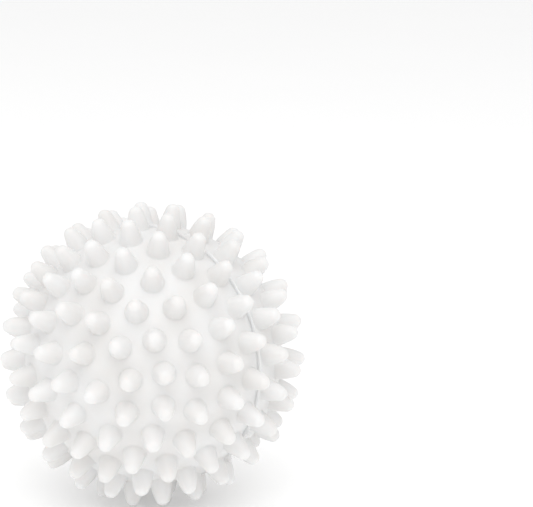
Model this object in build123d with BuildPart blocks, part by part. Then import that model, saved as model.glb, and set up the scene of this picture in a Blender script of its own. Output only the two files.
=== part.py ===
from build123d import *
import os
from math import asin, atan2, cos, hypot, radians, sin, sqrt

os.makedirs("parts", exist_ok=True)

# A hollow dryer ball of soft PVC: two moulded half shells, covered in blunt nodules and welded
# together rim to rim. Millimetres. The origin is the centre of the ball and +Z is up. The seam
# stands upright in the XZ plane, the pole of the front half points along -Y and the pole of the
# rear half along +Y.

# Driving dimensions
over_nodules = 70.0
body_radius = 29.6
wall = 2.2
nodule_foot_radius = 2.55
nodule_end_radius = 1.65
foot_fillet = 0.35

# The nodules of one half stand in rings about its pole, with one more on the pole itself. Each
# ring has its angle from the pole, its number of nodules, and the turn of its first nodule about
# the pole, with the angles in degrees.
rings = (
    (14.3, 5, -10.0),
    (28.3, 12, 7.3),
    (42.4, 17, 9.5),
    (56.2, 20, 5.6),
    (70.8, 23, 8.8),
    (83.4, 23, 15.0),
)

# The weld: a V groove round the outside of the seam, filled by a bead that stands proud of the
# body, and inside it a tongue on the front rim that locates in a groove in the rear rim.
weld_half_width = 0.35
weld_depth = 0.6
bead_height = 0.45
tongue_width = 0.7
tongue_height = 1.0
tongue_clearance = 0.1

# Worked out from the driving dimensions
tip_radius = over_nodules / 2
cavity_radius = body_radius - wall
root_radius = body_radius - wall / 2
foot_height = sqrt(body_radius**2 - nodule_foot_radius**2)
end_centre_height = tip_radius - nodule_end_radius
groove_edge = sqrt(body_radius**2 - weld_half_width**2)
groove_root = body_radius - weld_depth
tongue_radius = (cavity_radius + groove_root) / 2
rim_count, rim_turn = rings[-1][1:]

# The line that runs from a nodule's foot to touch its round end leans in by this angle
foot_to_centre = hypot(nodule_foot_radius, end_centre_height - foot_height)
lean = atan2(nodule_foot_radius, end_centre_height - foot_height)
lean -= asin(nodule_end_radius / foot_to_centre)

# The rear half is the same pattern turned over about the X axis, so that a turn becomes its
# negative, and then turned about the pole until its rim nodules stand midway between the front
# half's.
rear_turn = 2 * rim_turn - 180 / rim_count


def nodule_plane(angle, turn, pole):
    """The plane through the ball's centre whose normal runs along one nodule."""
    out = sin(radians(angle))
    along = Vector(out * cos(radians(turn)), pole * cos(radians(angle)), out * sin(radians(turn)))
    return Plane(origin=(0, 0, 0), z_dir=along)


def nodule_planes(pole):
    """The planes of all the nodules of the half whose pole points along Y times pole."""
    planes = [nodule_plane(0, 0, pole)]
    for angle, count, first_turn in rings:
        for i in range(count):
            turn = first_turn + i * 360 / count
            if pole > 0:
                turn = rear_turn - turn
            planes.append(nodule_plane(angle, turn, pole))
    return planes


# One nodule standing on the Z axis: a tapered peg with a round end, rooted in the wall
with BuildPart() as nodule:
    with BuildSketch(Plane.XZ):
        with BuildLine():
            foot = (nodule_foot_radius, foot_height)
            tip = (0, tip_radius)
            touch = (
                nodule_end_radius * cos(lean),
                end_centre_height + nodule_end_radius * sin(lean),
            )
            Polyline(tip, (0, root_radius), (nodule_foot_radius, root_radius), foot, touch)
            RadiusArc(touch, tip, -nodule_end_radius)
        make_face()
    revolve(axis=Axis.Z)


def covered_half(pole):
    """One half shell with its nodules, their feet filleted, and its half of the weld's V groove."""
    planes = nodule_planes(pole)
    with BuildPart() as half:
        Sphere(body_radius)
        split(bisect_by=Plane.XZ, keep=Keep.TOP if pole < 0 else Keep.BOTTOM)
        with Locations(*planes):
            add(nodule.part)
        feet = [
            edge
            for edge in half.edges().filter_by(GeomType.CIRCLE)
            if abs(edge.radius - nodule_foot_radius) < 0.01
        ]
        fillet(feet, foot_fillet)
        Sphere(cavity_radius, mode=Mode.SUBTRACT)
        with BuildSketch(Plane.XY):
            with BuildLine():
                Polyline(
                    (groove_root, 0),
                    (groove_edge, pole * weld_half_width),
                    (tip_radius, pole * weld_half_width),
                    (tip_radius, 0),
                    close=True,
                )
            make_face()
        revolve(axis=Axis.Y, mode=Mode.SUBTRACT)
    return half.part


# Front half shell, with the tongue on its rim
front_blank = covered_half(-1)
with BuildPart() as front_half_shell:
    add(front_blank)
    with BuildSketch(Plane.XZ):
        Circle(tongue_radius + tongue_width / 2)
        Circle(tongue_radius - tongue_width / 2, mode=Mode.SUBTRACT)
    extrude(amount=-tongue_height)
front_half_shell.part.label = "front_half_shell"
export_step(front_half_shell.part, "parts/front_half_shell.step")

# Rear half shell, with the groove in its rim
rear_blank = covered_half(1)
with BuildPart() as rear_half_shell:
    add(rear_blank)
    with BuildSketch(Plane.XZ):
        Circle(tongue_radius + tongue_width / 2 + tongue_clearance)
        Circle(tongue_radius - tongue_width / 2 - tongue_clearance, mode=Mode.SUBTRACT)
    extrude(amount=-tongue_height - tongue_clearance, mode=Mode.SUBTRACT)
rear_half_shell.part.label = "rear_half_shell"
export_step(rear_half_shell.part, "parts/rear_half_shell.step")

# Weld bead: one ring of weld that fills the V groove and stands proud in a rounded ridge
with BuildPart() as weld_bead:
    with BuildSketch(Plane.XY):
        with BuildLine():
            crown = (body_radius + bead_height, 0)
            lower = (groove_edge, -weld_half_width)
            upper = (groove_edge, weld_half_width)
            Polyline(lower, (groove_root, 0), upper)
            ThreePointArc(upper, crown, lower)
        make_face()
    revolve(axis=Axis.Y)
weld_bead.part.label = "weld_bead"
export_step(weld_bead.part, "parts/weld_bead.step")
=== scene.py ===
import math
import random

import bmesh
import bpy
from mathutils import Matrix, Vector, noise
from mathutils.geometry import delaunay_2d_cdt


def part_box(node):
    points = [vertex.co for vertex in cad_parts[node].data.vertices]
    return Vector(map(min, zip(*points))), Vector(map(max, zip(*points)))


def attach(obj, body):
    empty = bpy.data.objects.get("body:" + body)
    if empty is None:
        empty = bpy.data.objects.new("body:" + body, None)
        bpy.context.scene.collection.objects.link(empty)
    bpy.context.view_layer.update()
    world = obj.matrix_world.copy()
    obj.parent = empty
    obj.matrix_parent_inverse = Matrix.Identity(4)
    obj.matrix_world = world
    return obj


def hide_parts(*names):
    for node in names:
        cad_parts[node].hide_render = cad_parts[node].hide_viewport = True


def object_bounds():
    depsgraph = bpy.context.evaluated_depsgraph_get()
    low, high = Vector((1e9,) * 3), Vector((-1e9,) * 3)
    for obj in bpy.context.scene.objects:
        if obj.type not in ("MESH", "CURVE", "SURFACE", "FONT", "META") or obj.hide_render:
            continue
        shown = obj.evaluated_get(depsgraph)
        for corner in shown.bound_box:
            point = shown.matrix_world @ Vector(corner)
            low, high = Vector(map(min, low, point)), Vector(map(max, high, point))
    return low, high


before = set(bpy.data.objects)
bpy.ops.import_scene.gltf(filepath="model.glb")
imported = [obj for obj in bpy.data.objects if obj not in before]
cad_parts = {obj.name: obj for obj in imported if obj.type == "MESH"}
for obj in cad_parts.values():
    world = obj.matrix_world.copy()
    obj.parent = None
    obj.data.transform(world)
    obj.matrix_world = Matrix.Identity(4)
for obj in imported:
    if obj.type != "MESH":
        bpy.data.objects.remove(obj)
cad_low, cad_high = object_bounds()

MM = 0.001

# Sizes of the mouldings, as in the CAD model
WALL = 2.2 * MM
FOOT_RADIUS = 2.55 * MM
END_RADIUS = 1.65 * MM
FOOT_FILLET = 0.35 * MM
WELD_HALF_WIDTH = 0.35 * MM
WELD_DEPTH = 0.6 * MM
BEAD_HEIGHT = 0.45 * MM
TONGUE_WIDTH = 0.7 * MM
TONGUE_HEIGHT = 1.0 * MM
TONGUE_CLEARANCE = 0.1 * MM

# Sizes that come from the frame. The ball's centre is the frame's origin.
CENTRE = Vector((0, 0, 0))
TIP_RADIUS = -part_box("front_half_shell")[0].y
BODY_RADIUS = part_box("weld_bead")[1].x - BEAD_HEIGHT
FLOOR_HEIGHT = cad_low.z

# How a soft moulding differs from its drawing
SIDE_SWELL = 0.12 * MM       # how far a nodule's side swells out
TIP_SHORTFALL = 0.15 * MM    # the most that a nodule falls short of its height
END_SPREAD = 0.025           # how far a round end's radius varies either way, as a share
LEAN_SPREAD = 0.012          # how far a nodule leans, as a standard deviation in radians
OVAL_SPREAD = 0.012          # how far a nodule is out of round at its tip, as a share

# Each ring of nodules: angle from the pole, count, turn of the first, in degrees
RINGS = (
    (14.3, 5, -10.0),
    (28.3, 12, 7.3),
    (42.4, 17, 9.5),
    (56.2, 20, 5.6),
    (70.8, 23, 8.8),
    (83.4, 23, 15.0),
)
RIM_COUNT, RIM_TURN = RINGS[-1][1:]
REAR_TURN = 2 * RIM_TURN - 180 / RIM_COUNT

# How finely the meshes are divided
NODULE_SEGMENTS = 28
FILLET_STEPS = 5
SIDE_STEPS = 6
END_STEPS = 7
RIM_SEGMENTS = 360
CAVITY_STEPS = 14
FIELD_SPACING = 1.15 * MM
FIELD_CELL = 0.87            # the area one field point takes, as a share of its spacing squared
RIM_MARGIN = 0.6             # the field keeps this share of its spacing from the rim
NODULE_MARGIN = 0.45         # and this share from the nodules
MERGE_DISTANCE = 0.004 * MM
PLANE_TOLERANCE = 1e-7       # how near two points of the flat map may be before they are one


def smooth_shade(mesh):
    """Smooth shading on every face of a mesh."""
    mesh.polygons.foreach_set("use_smooth", [True] * len(mesh.polygons))
    mesh.update()


def finished_piece(name, bm, cad_node, material):
    """Turns a bmesh into a piece that rides on the ball, stands for a CAD node and has a material."""
    bmesh.ops.recalc_face_normals(bm, faces=bm.faces)
    mesh = bpy.data.meshes.new(name)
    bm.to_mesh(mesh)
    bm.free()
    smooth_shade(mesh)
    mesh.materials.append(material)
    piece = bpy.data.objects.new(name, mesh)
    bpy.context.scene.collection.objects.link(piece)
    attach(piece, "root")
    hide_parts(cad_node)
    return piece


# ---------------------------------------------------------------- nodule pattern


def direction(angle, turn, pole):
    """The unit vector of a nodule on the half whose pole points along Y times pole."""
    out = math.sin(math.radians(angle))
    turn = math.radians(turn)
    return Vector((out * math.cos(turn), pole * math.cos(math.radians(angle)), out * math.sin(turn)))


def nodule_directions(pole):
    """The direction of every nodule of one half, as unit vectors."""
    found = [direction(0, 0, pole)]
    for angle, count, first_turn in RINGS:
        for i in range(count):
            turn = first_turn + i * 360 / count
            if pole > 0:
                turn = REAR_TURN - turn
            found.append(direction(angle, turn, pole))
    return found


def nodule_profile(tip_height, end_radius):
    """(radius, height) points of a nodule, from where its fillet leaves the body to near its tip."""
    foot = Vector((FOOT_RADIUS, math.sqrt(BODY_RADIUS**2 - FOOT_RADIUS**2)))
    end_centre = Vector((0, tip_height - end_radius))
    span = foot - end_centre
    lean = math.atan2(span.x, -span.y) - math.asin(end_radius / span.length)
    side_normal = Vector((math.cos(lean), math.sin(lean)))
    side_up = Vector((-math.sin(lean), math.cos(lean)))
    # The fillet's centre is one fillet radius outside both the body and the nodule's side
    start = foot + side_normal * FOOT_FILLET
    along = start.dot(side_up)
    rise = math.sqrt(along**2 - start.length_squared + (BODY_RADIUS + FOOT_FILLET) ** 2) - along
    centre = start + side_up * rise
    first = math.atan2(-centre.y, -centre.x)
    last = math.atan2(-side_normal.y, -side_normal.x)
    points = []
    for i in range(FILLET_STEPS + 1):
        a = first + (last - first) * i / FILLET_STEPS
        points.append(centre + Vector((math.cos(a), math.sin(a))) * FOOT_FILLET)
    side_start = points[-1]
    side_end = end_centre + side_normal * end_radius
    for i in range(1, SIDE_STEPS + 1):
        t = i / SIDE_STEPS
        points.append(side_start.lerp(side_end, t) + side_normal * (4 * t * (1 - t) * SIDE_SWELL))
    for i in range(1, END_STEPS):
        a = lean + (math.pi / 2 - lean) * i / END_STEPS
        points.append(end_centre + Vector((math.cos(a), math.sin(a))) * end_radius)
    return points


def add_nodule(bm, axis, rng):
    """Adds one nodule, slightly uneven as moulded soft plastic is, and returns its lowest ring."""
    across = axis.orthogonal().normalized()
    beside = axis.cross(across)
    end_radius = END_RADIUS * rng.uniform(1 - END_SPREAD, 1 + END_SPREAD)
    tip_height = TIP_RADIUS - rng.uniform(0.0, TIP_SHORTFALL)
    profile = nodule_profile(tip_height, end_radius)
    lean = across * rng.gauss(0, LEAN_SPREAD) + beside * rng.gauss(0, LEAN_SPREAD)
    oval = rng.uniform(-OVAL_SPREAD, OVAL_SPREAD)
    oval_turn = rng.uniform(0, math.pi)
    base_height = profile[0].y
    rings = []
    for radius, height in profile:
        free = (height - base_height) / (tip_height - base_height)
        ring = []
        for k in range(NODULE_SEGMENTS):
            a = 2 * math.pi * k / NODULE_SEGMENTS
            r = radius * (1 + oval * free * math.cos(2 * (a - oval_turn)))
            point = axis * height + across * (r * math.cos(a)) + beside * (r * math.sin(a))
            ring.append(bm.verts.new(point + lean * (height - base_height) * free))
        rings.append(ring)
    for lower, upper in zip(rings, rings[1:]):
        for k in range(NODULE_SEGMENTS):
            n = (k + 1) % NODULE_SEGMENTS
            bm.faces.new((lower[k], lower[n], upper[n], upper[k]))
    tip = bm.verts.new(axis * tip_height + lean * (tip_height - base_height))
    for k in range(NODULE_SEGMENTS):
        bm.faces.new((rings[-1][k], rings[-1][(k + 1) % NODULE_SEGMENTS], tip))
    return rings[0]


# ---------------------------------------------------------------- half shells


def flat(point, pole):
    """A point of one half, mapped to the plane by stereographic projection about its pole."""
    d = point.normalized()
    return Vector((d.x, d.z)) / (1 + pole * d.y)


def lifted(uv, pole):
    """The point of the body that the plane's point uv came from."""
    s = uv.length_squared
    return Vector((2 * uv.x, pole * (1 - s), 2 * uv.y)) * (BODY_RADIUS / (1 + s))


def field_points(pole, nodules, keep_out, edge_angle):
    """Points evenly spread over the body between the nodules, as on a sunflower's head."""
    count = int(2 * math.pi * BODY_RADIUS**2 / (FIELD_CELL * FIELD_SPACING**2))
    golden = math.pi * (3 - math.sqrt(5))
    found = []
    for i in range(count):
        rise = 1 - (i + 0.5) / count
        if rise < math.sin(edge_angle + RIM_MARGIN * FIELD_SPACING / BODY_RADIUS):
            continue
        out = math.sqrt(1 - rise * rise)
        d = Vector((out * math.cos(i * golden), pole * rise, out * math.sin(i * golden)))
        if all(d.dot(axis) < limit for axis, limit in zip(nodules, keep_out)):
            found.append(d)
    return found


def lathe(bm, profile):
    """Turns a profile of (radius, y) points about the Y axis, open at both ends, and returns its rings."""
    rings = []
    for radius, y in profile:
        ring = []
        for k in range(RIM_SEGMENTS):
            a = 2 * math.pi * k / RIM_SEGMENTS
            ring.append(bm.verts.new((radius * math.cos(a), y, radius * math.sin(a))))
        rings.append(ring)
    for lower, upper in zip(rings, rings[1:]):
        for k in range(RIM_SEGMENTS):
            n = (k + 1) % RIM_SEGMENTS
            bm.faces.new((lower[k], lower[n], upper[n], upper[k]))
    return rings


def rim_profile(pole):
    """(radius, y) from the V groove's outer edge round the rim to the cavity, with tongue or groove."""
    cavity = BODY_RADIUS - WALL
    root = BODY_RADIUS - WELD_DEPTH
    middle = (cavity + root) / 2
    slack = 0 if pole < 0 else TONGUE_CLEARANCE
    half = TONGUE_WIDTH / 2 + slack
    far = TONGUE_HEIGHT + slack
    edge = math.sqrt(BODY_RADIUS**2 - WELD_HALF_WIDTH**2)
    return (
        (edge, pole * WELD_HALF_WIDTH),
        (root, 0),
        (middle + half, 0),
        (middle + half, far),
        (middle - half, far),
        (middle - half, 0),
        (cavity, 0),
    )


def half_shell(pole, seed):
    """The mesh of one half: body between the nodules, nodules, rim and the inside of the cavity."""
    rng = random.Random(seed)
    nodules = nodule_directions(pole)
    bm = bmesh.new()
    edge_angle = math.asin(WELD_HALF_WIDTH / BODY_RADIUS)

    # The nodules, and the circles where they leave the body
    points, edges, keep_out, holes = [], [], [], []
    for axis in nodules:
        ring = add_nodule(bm, axis, rng)
        start = len(points)
        points += [flat(v.co, pole) for v in ring]
        for k in range(NODULE_SEGMENTS):
            edges.append((start + k, start + (k + 1) % NODULE_SEGMENTS))
        foot_angle = axis.angle(ring[0].co)
        keep_out.append(math.cos(foot_angle + NODULE_MARGIN * FIELD_SPACING / BODY_RADIUS))
        holes.append(math.cos(foot_angle))

    # The rim, and inside it the cavity
    rings = lathe(bm, rim_profile(pole))
    start = len(points)
    points += [flat(v.co, pole) for v in rings[0]]
    for k in range(RIM_SEGMENTS):
        edges.append((start + k, start + (k + 1) % RIM_SEGMENTS))
    cavity = BODY_RADIUS - WALL
    arc = [math.pi / 2 * i / CAVITY_STEPS for i in range(CAVITY_STEPS)]
    inner = lathe(bm, [(cavity * math.cos(a), pole * cavity * math.sin(a)) for a in arc])
    crown = bm.verts.new((0, pole * cavity, 0))
    for k in range(RIM_SEGMENTS):
        bm.faces.new((inner[-1][k], inner[-1][(k + 1) % RIM_SEGMENTS], crown))

    # The body between them all
    points += [flat(d, pole) for d in field_points(pole, nodules, keep_out, edge_angle)]
    plane_points, _, triangles, _, _, _ = delaunay_2d_cdt(points, edges, [], 0, PLANE_TOLERANCE)
    body = [bm.verts.new(lifted(p, pole)) for p in plane_points]
    for triangle in triangles:
        middle = sum((body[i].co for i in triangle), Vector()).normalized()
        in_a_nodule = any(middle.dot(axis) > hole for axis, hole in zip(nodules, holes))
        if not in_a_nodule and pole * middle.y > math.sin(edge_angle) * 0.9:
            bm.faces.new([body[i] for i in triangle])
    bmesh.ops.remove_doubles(bm, verts=bm.verts, dist=MERGE_DISTANCE)
    bmesh.ops.delete(bm, geom=[v for v in bm.verts if not v.link_faces], context="VERTS")
    return bm


# ---------------------------------------------------------------- weld ridge

# Crumbs of flash on the weld: (turn in degrees, half width in degrees, height)
FLASH = (
    (71.6, 0.9, 1.2 * MM),
    (70.4, 0.8, 0.9 * MM),
    (-26.6, 0.5, 1.0 * MM),
    (-27.9, 0.8, 1.5 * MM),
    (-29.5, 0.6, 1.2 * MM),
    (-43.2, 0.6, 0.9 * MM),
    (-44.5, 0.7, 1.3 * MM),
    (-46.1, 0.8, 1.5 * MM),
    (138.0, 1.6, 0.8 * MM),
    (171.0, 1.2, 1.0 * MM),
    (224.0, 2.0, 0.9 * MM),
    (262.0, 1.3, 1.1 * MM),
)
WELD_SEGMENTS = 1800
WELD_TOE = 0.62 * MM       # from the seam to where the ridge's foot runs out under the body's surface
WELD_TOE_SINK = 0.05 * MM  # how far under the surface it ends
WELD_NECK = 0.21 * MM      # half the ridge's width where its foot ends and its crown starts
TOE_STEPS = 4
CROWN_STEPS = 5


def flash_height(turn):
    """How far the flash stands above the ridge at a turn about the poles, in degrees."""
    total = 0.0
    for middle, half, height in FLASH:
        away = abs((turn - middle + 180) % 360 - 180) / half
        if away < 1:
            total += height * (1 - away**2) ** 0.5
    return total


def ridge_side(ridge, height):
    """(distance from the seam, rise above the body) up one side of the ridge, from toe to crown."""
    neck = 0.45 * ridge
    points = []
    for i in range(TOE_STEPS):
        t = i / TOE_STEPS
        rise = (neck + WELD_TOE_SINK) * t**2 - WELD_TOE_SINK
        points.append((WELD_TOE + (WELD_NECK - WELD_TOE) * t, rise))
    for i in range(CROWN_STEPS + 1):
        a = math.pi / 2 * i / CROWN_STEPS
        points.append((WELD_NECK * math.cos(a), neck + (height - neck) * math.sin(a)))
    return points


def weld_ridge():
    """The mesh of the weld: a V in the groove, and an uneven ridge with ragged flash above it."""
    bm = bmesh.new()
    sections = []
    for k in range(WELD_SEGMENTS):
        turn = 360 * k / WELD_SEGMENTS
        a = math.radians(turn)
        out = Vector((math.cos(a), 0, math.sin(a)))
        unevenness = noise.noise(out * 14) + 0.6 * noise.noise(out * 45)
        ragged = 0.62 + 0.5 * noise.noise(out * 110) + 0.4 * noise.noise(out * 310)
        ridge = BEAD_HEIGHT * (1 + 0.16 * unevenness)
        tab = flash_height(turn) * max(0.15, min(1.0, ragged))
        wander = 0.08 * MM * noise.noise(out * 9 + Vector((3, 1, 4)))
        curl = 0.3 * tab * noise.noise(out * 60 + Vector((8, 2, 5)))
        # The section starts at the V's root, goes up one side and, past the crown, down the other
        side = ridge_side(ridge, ridge + tab)
        section = [out * (BODY_RADIUS - WELD_DEPTH)]
        for sign, points in ((-1, side), (1, side[-2::-1])):
            for away, rise in points:
                lift = max(0.0, rise) / (ridge + tab)
                shift = wander * lift + curl * lift**2
                section.append(out * (BODY_RADIUS + rise) + Vector((0, sign * away + shift, 0)))
        sections.append([bm.verts.new(p) for p in section])
    size = len(sections[0])
    for k in range(WELD_SEGMENTS):
        here, there = sections[k], sections[(k + 1) % WELD_SEGMENTS]
        for j in range(size):
            n = (j + 1) % size
            bm.faces.new((here[j], here[n], there[n], there[j]))
    return bm


# ---------------------------------------------------------------- materials


class Nodes:
    """A short way to build a node tree."""

    def __init__(self, name):
        self.material = bpy.data.materials.new(name)
        self.material.use_nodes = True
        self.tree = self.material.node_tree
        self.shader = self.tree.nodes["Principled BSDF"]

    def add(self, kind, **settings):
        """Adds a node, sets its properties, and its inputs where a setting names an input."""
        node = self.tree.nodes.new(kind)
        for key, value in settings.items():
            if key in node.inputs.keys():
                node.inputs[key].default_value = value
            else:
                setattr(node, key, value)
        return node

    def link(self, source, target):
        self.tree.links.new(source, target)

    def noise(self, coordinates, scale, detail=3.0, roughness=0.5):
        """A noise texture's factor, of features about one over scale metres across."""
        texture = self.add("ShaderNodeTexNoise", Scale=scale, Detail=detail, Roughness=roughness)
        self.link(coordinates, texture.inputs["Vector"])
        return texture.outputs["Fac"]

    def ranged(self, value, low, high, to_low, to_high):
        """A value mapped from one range to another, smoothly and held at both ends."""
        node = self.add("ShaderNodeMapRange", interpolation_type="SMOOTHSTEP")
        for name, number in zip(("From Min", "From Max", "To Min", "To Max"), (low, high, to_low, to_high)):
            node.inputs[name].default_value = number
        self.link(value, node.inputs["Value"])
        return node.outputs["Result"]

    def blend(self, factor, first, second):
        """A colour between two, by a factor. Each is a colour or an output."""
        node = self.add("ShaderNodeMix", data_type="RGBA")
        self.link(factor, node.inputs["Factor"])
        for socket, colour in ((node.inputs[6], first), (node.inputs[7], second)):
            if isinstance(colour, tuple):
                socket.default_value = (*colour, 1)
            else:
                self.link(colour, socket)
        return node.outputs[2]

    def combined(self, operation, first, second):
        """Two values put together by a maths node. Each is a number or an output."""
        node = self.add("ShaderNodeMath", operation=operation)
        for socket, value in zip(node.inputs, (first, second)):
            if isinstance(value, float):
                socket.default_value = value
            else:
                self.link(value, socket)
        return node.outputs[0]

    def bump(self, height, distance, strength, below=None):
        """A bump of a height in metres, over another one where below is given."""
        node = self.add("ShaderNodeBump", Distance=distance, Strength=strength)
        self.link(height, node.inputs["Height"])
        if below:
            self.link(below, node.inputs["Normal"])
        return node.outputs["Normal"]


PVC_WHITE = (0.83, 0.827, 0.823)
PVC_WARM = (0.80, 0.79, 0.778)
# The colour of the painted shade on the body between the nodules
PVC_PAINTED_SHADE = (0.74, 0.727, 0.712)
PVC_IOR = 1.52
PVC_SCATTER = 1.4 * MM       # how far light spreads inside the plastic


def soft_pvc(name, painted_light_tint, roughness, grain):
    """White soft PVC with a satin moulded skin: cloudy, with painted shade in specks on the body between
    the nodules, polished at the tips.
    """
    n = Nodes(name)
    where = n.add("ShaderNodeTexCoord").outputs["Object"]
    radius = n.add("ShaderNodeVectorMath", operation="LENGTH")
    n.link(where, radius.inputs[0])
    height = n.ranged(radius.outputs["Value"], BODY_RADIUS, TIP_RADIUS, 0, 1)

    # Colour: clouds in the plastic, and painted shade in darker specks on the body between the nodules,
    # where shade falls
    clouds = n.ranged(n.noise(where, 90, 4), 0.35, 0.7, 0, 1)
    # A tint above one lightens every colour, as painted light
    white, warm, shade_colour = (
        tuple(c * t for c, t in zip(colour, painted_light_tint)) for colour in (PVC_WHITE, PVC_WARM, PVC_PAINTED_SHADE)
    )
    plastic = n.blend(clouds, white, warm)
    # Painted shade: darker specks on the body between the nodules, fading out halfway up them
    shade_specks = n.ranged(n.noise(where, 1100, 5, 0.65), 0.6, 0.8, 0, 0.6)
    low_down = n.ranged(height, 0.0, 0.5, 1, 0)
    painted_shade = n.combined("MULTIPLY", shade_specks, low_down)
    n.link(n.blend(painted_shade, plastic, shade_colour), n.shader.inputs["Base Color"])

    # Gloss: satin, uneven, and a little more polished on the round ends
    patches = n.ranged(n.noise(where, 260, 4), 0.3, 0.7, -0.05, 0.06)
    polish = n.ranged(height, 0.55, 1.0, 0, -0.05)
    rough = n.combined("ADD", patches, polish)
    n.link(n.combined("ADD", rough, roughness), n.shader.inputs["Roughness"])

    # Relief: the slow unevenness of a soft moulding, and the fine grain of the mould's surface
    slow = n.bump(n.noise(where, 420, 2), 0.12 * MM, 0.35)
    fine = n.bump(n.noise(where, 3600, 4, 0.6), grain, 0.5, slow)
    n.link(fine, n.shader.inputs["Normal"])

    n.shader.inputs["IOR"].default_value = PVC_IOR
    n.shader.inputs["Specular IOR Level"].default_value = 0.5
    n.shader.inputs["Subsurface Weight"].default_value = 0.6
    n.shader.inputs["Subsurface Radius"].default_value = (1.0, 0.93, 0.9)
    n.shader.inputs["Subsurface Scale"].default_value = PVC_SCATTER
    return n.material


def paper_white():
    """The plain matt floor, faintly cloudy, with a little glow of its own so that it reads as white."""
    n = Nodes("floor_white")
    where = n.add("ShaderNodeTexCoord").outputs["Object"]
    tone = n.blend(n.noise(where, 9, 2), (0.955, 0.955, 0.955), (0.97, 0.97, 0.97))
    n.link(tone, n.shader.inputs["Base Color"])
    n.shader.inputs["Roughness"].default_value = 0.9
    n.shader.inputs["Specular IOR Level"].default_value = 0.1
    n.shader.inputs["Emission Color"].default_value = (1, 1, 1, 1)
    n.shader.inputs["Emission Strength"].default_value = 0.15
    return n.material


shell_material = soft_pvc("soft_pvc", (1, 1, 1), 0.46, 0.012 * MM)
# The weld is the shell's plastic painted a little lighter: painted light on the proud ridge, which catches
# the light
weld_painted_light_material = soft_pvc("weld_pvc_painted_light", (1.04, 1.04, 1.045), 0.34, 0.03 * MM)

finished_piece("front_half", half_shell(-1, 11), "front_half_shell", shell_material)
finished_piece("rear_half", half_shell(1, 23), "rear_half_shell", shell_material)
finished_piece("weld_ridge", weld_ridge(), "weld_bead", weld_painted_light_material)


# ---------------------------------------------------------------- stage, light and camera

CAMERA_AZIMUTH = 37.3
CAMERA_ELEVATION = 14.9
CAMERA_DISTANCE = 12.43 * TIP_RADIUS
BALL_PLACE = (-0.427, -0.374)   # the ball's centre, in half frame widths from the frame's middle
BALL_SIZE = 0.570               # the radius over the nodules, in half frame widths
FLOOR_HALF_SIZE = 6.0

# The softbox above the camera, and the even surround
KEY_AZIMUTH = CAMERA_AZIMUTH - 2
KEY_ELEVATION = 58
KEY_DISTANCE = 0.9
KEY_SIZE = 0.9
KEY_POWER = 3.2
SKY_STRENGTH = 0.8


def view_axes(azimuth, elevation):
    """Right, up and back of a camera that looks at the ball from that angle."""
    a, e = math.radians(azimuth), math.radians(elevation)
    right = Vector((math.cos(a), math.sin(a), 0))
    back = Vector((math.sin(a) * math.cos(e), -math.cos(a) * math.cos(e), math.sin(e)))
    return right, back.cross(right), back


def add_camera():
    """The camera at the photograph's angle, turned so that the ball stands where it does there."""
    right, up, back = view_axes(CAMERA_AZIMUTH, CAMERA_ELEVATION)
    facing = Matrix((right, up, back)).transposed().to_quaternion()
    half_view = TIP_RADIUS / CAMERA_DISTANCE / BALL_SIZE
    towards = Vector((BALL_PLACE[0] * half_view, BALL_PLACE[1] * half_view, -1))
    turned = Vector((0, 0, -1)).rotation_difference(towards)
    data = bpy.data.cameras.new("camera")
    data.sensor_width = 36
    data.lens = data.sensor_width / 2 / half_view
    data.clip_start = 0.01
    data.clip_end = 20
    camera = bpy.data.objects.new("camera", data)
    camera.rotation_mode = "QUATERNION"
    camera.rotation_quaternion = facing @ turned.inverted()
    camera.location = CENTRE + back * CAMERA_DISTANCE
    bpy.context.scene.collection.objects.link(camera)
    bpy.context.scene.camera = camera


def add_floor():
    """A wide plain floor under the ball."""
    bm = bmesh.new()
    bmesh.ops.create_grid(bm, x_segments=4, y_segments=4, size=FLOOR_HALF_SIZE)
    bmesh.ops.translate(bm, verts=bm.verts, vec=(0, 0, FLOOR_HEIGHT))
    mesh = bpy.data.meshes.new("floor")
    bm.to_mesh(mesh)
    bm.free()
    mesh.materials.append(paper_white())
    floor = bpy.data.objects.new("floor", mesh)
    bpy.context.scene.collection.objects.link(floor)


def add_softbox(name, azimuth, elevation, distance, size, power):
    """A square softbox that faces the ball from an angle given as a camera's is."""
    right, up, back = view_axes(azimuth, elevation)
    data = bpy.data.lights.new(name, "AREA")
    data.shape = "SQUARE"
    data.size = size
    data.energy = power
    light = bpy.data.objects.new(name, data)
    light.rotation_mode = "QUATERNION"
    light.rotation_quaternion = Matrix((right, up, back)).transposed().to_quaternion()
    light.location = CENTRE + back * distance
    bpy.context.scene.collection.objects.link(light)


def add_sky(strength):
    """An even white surround."""
    world = bpy.data.worlds.new("studio")
    world.use_nodes = True
    background = world.node_tree.nodes["Background"]
    background.inputs["Color"].default_value = (1, 1, 1, 1)
    background.inputs["Strength"].default_value = strength
    bpy.context.scene.world = world


add_camera()
add_floor()
add_softbox("key_softbox", KEY_AZIMUTH, KEY_ELEVATION, KEY_DISTANCE, KEY_SIZE, KEY_POWER)
add_sky(SKY_STRENGTH)
bpy.context.scene.view_settings.view_transform = "Standard"
